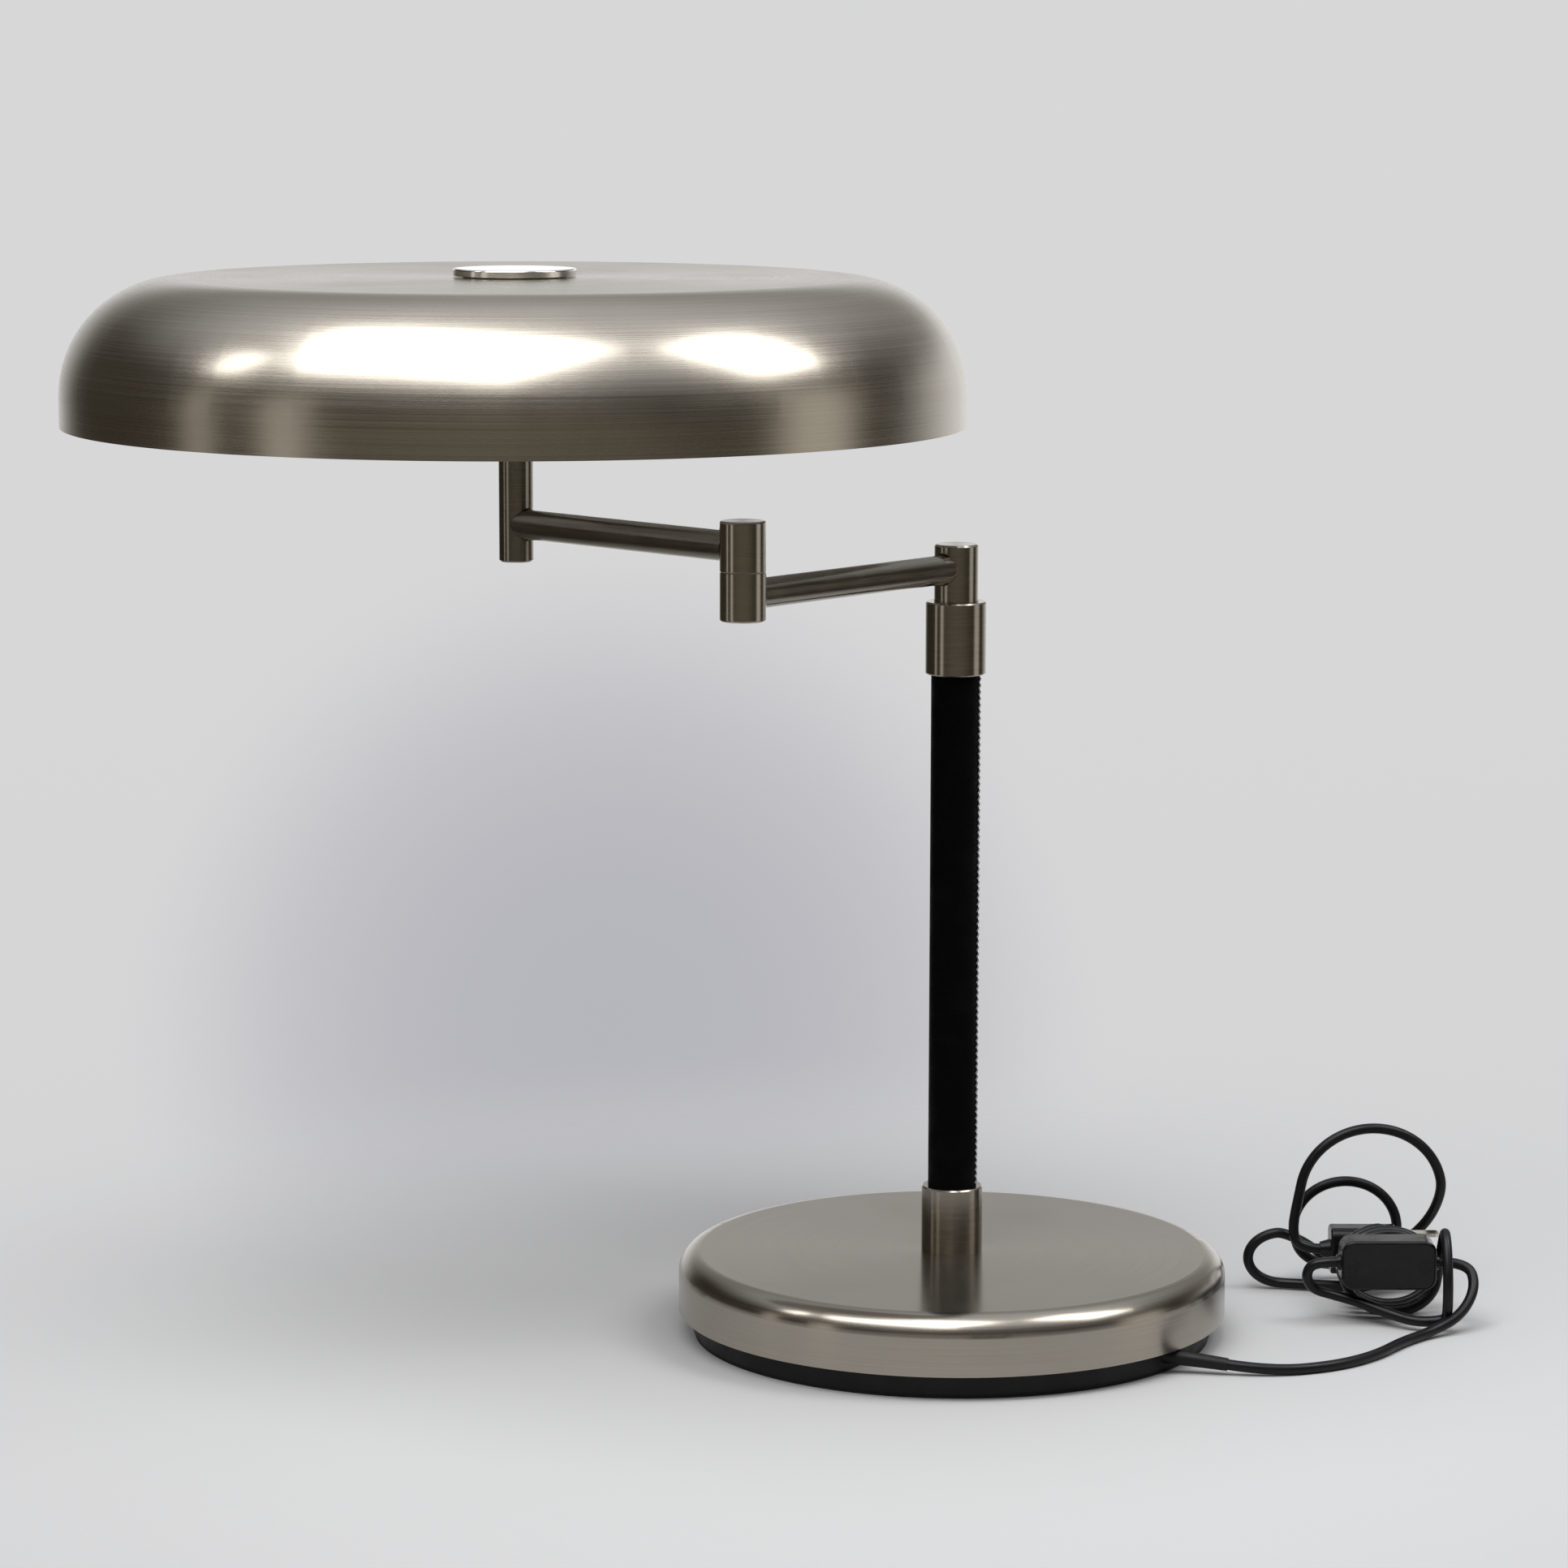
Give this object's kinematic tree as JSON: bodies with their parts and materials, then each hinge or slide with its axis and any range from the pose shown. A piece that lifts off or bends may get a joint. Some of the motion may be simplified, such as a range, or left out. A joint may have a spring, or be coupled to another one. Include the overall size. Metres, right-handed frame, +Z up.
{
  "type": "desk lamp",
  "caption": "Desk lamp with a shallow round metal dome shade on a two-part swing arm, a leather-sleeved column, a heavy round base and a mains cord with switch and plug.",
  "frame": {"origin": "centre of the round base, on the surface that the lamp stands on", "axes": "+Z up along the column; the shade lies on the -X side, and the cord leaves the base towards +X"},
  "size_m": [0.557, 0.35, 0.4215],
  "materials": {
    "brushed_steel": "satin, circular brushing",
    "polished_chrome": "polished",
    "black_leather": "matt, stitched seam",
    "cast_iron": "as cast, painted",
    "black_plastic": "moulded, fine texture",
    "black_rubber": "matt",
    "plated_steel": "zinc plated",
    "bearing_nylon": "natural nylon",
    "clear_vinyl": "soft washer",
    "holder_plastic": "white thermoset",
    "bulb_glass": "frosted",
    "bulb_cap": "rolled thread",
    "inner_lead": "soft vinyl",
    "holder_lead": "silicone sleeve",
    "black_cord": "satin vinyl flex",
    "switch_plastic": "satin moulding",
    "plug_pin": "nickel plated"
  },
  "bodies": {
    "base": {"base_cord": "inner_lead", "base_cover": "brushed_steel", "base_pad": "black_rubber", "base_tray": "black_plastic", "base_weight": "cast_iron", "bottom_collar": "brushed_steel", "clamp_screws": "plated_steel", "column_lead": "inner_lead", "column_nut": "plated_steel", "column_tube": "plated_steel", "column_washer": "plated_steel", "cord_clamp": "black_plastic", "cord_gland": "black_plastic", "leather_sleeve": "black_leather", "plug_body": "switch_plastic", "plug_pins": "plug_pin", "power_cord_hank": "black_cord", "power_cord_lead": "black_cord", "switch_base": "switch_plastic", "switch_contacts": "plug_pin", "switch_cover": "switch_plastic", "switch_screws": "plated_steel", "swivel_bush": "bearing_nylon", "terminal_block": "holder_plastic", "terminal_screws": "plated_steel", "thrust_washer": "bearing_nylon", "top_collar": "brushed_steel", "tray_screws": "plated_steel"},
    "lower_arm": {"swivel_post": "brushed_steel", "swivel_ring": "plated_steel", "lower_arm": "brushed_steel", "lower_barrel": "brushed_steel", "lower_barrel_cap": "brushed_steel", "elbow_pivot": "plated_steel", "elbow_washer": "bearing_nylon", "elbow_spring_washer": "plated_steel", "elbow_nut": "plated_steel", "lower_arm_lead": "inner_lead"},
    "upper_arm": {"upper_barrel": "brushed_steel", "upper_barrel_cap": "brushed_steel", "upper_arm": "brushed_steel", "shade_stem": "brushed_steel", "shade_nipple": "plated_steel", "shade_nut": "plated_steel", "lamp_bracket": "plated_steel", "bracket_nut": "plated_steel", "lampholder_left": "holder_plastic", "lampholder_right": "holder_plastic", "holder_nuts": "plated_steel", "holder_leads": "holder_lead", "bulb_cap_left": "bulb_cap", "bulb_cap_right": "bulb_cap", "bulb_glass_left": "bulb_glass", "bulb_glass_right": "bulb_glass", "upper_arm_lead": "inner_lead"},
    "shade": {"shade": "brushed_steel", "shade_washer": "plated_steel", "finial_washer": "clear_vinyl", "finial": "polished_chrome"},
    "rocker": {"switch_rocker": "switch_plastic"}
  },
  "joints": [
    {"name": "column_swivel", "type": "hinge", "parent": "base", "child": "lower_arm", "pos_m": [0, 0, 0.29], "axis": [0, 0, 1], "range_deg": [-170, 170]},
    {"name": "elbow_swivel", "type": "hinge", "parent": "lower_arm", "child": "upper_arm", "pos_m": [-0.08238, -0.09731, 0.314], "axis": [0, 0, 1], "range_deg": [-74, 265]},
    {"name": "shade_turn", "type": "hinge", "parent": "upper_arm", "child": "shade", "pos_m": [-0.17111, -0.00575, 0.4], "axis": [0, 0, 1], "continuous": true},
    {"name": "switch_press", "type": "hinge", "parent": "base", "child": "rocker", "pos_m": [0.175, 0.0164, 0.025], "axis": [0, 0, 1], "range_deg": [0, 14]}
  ]
}
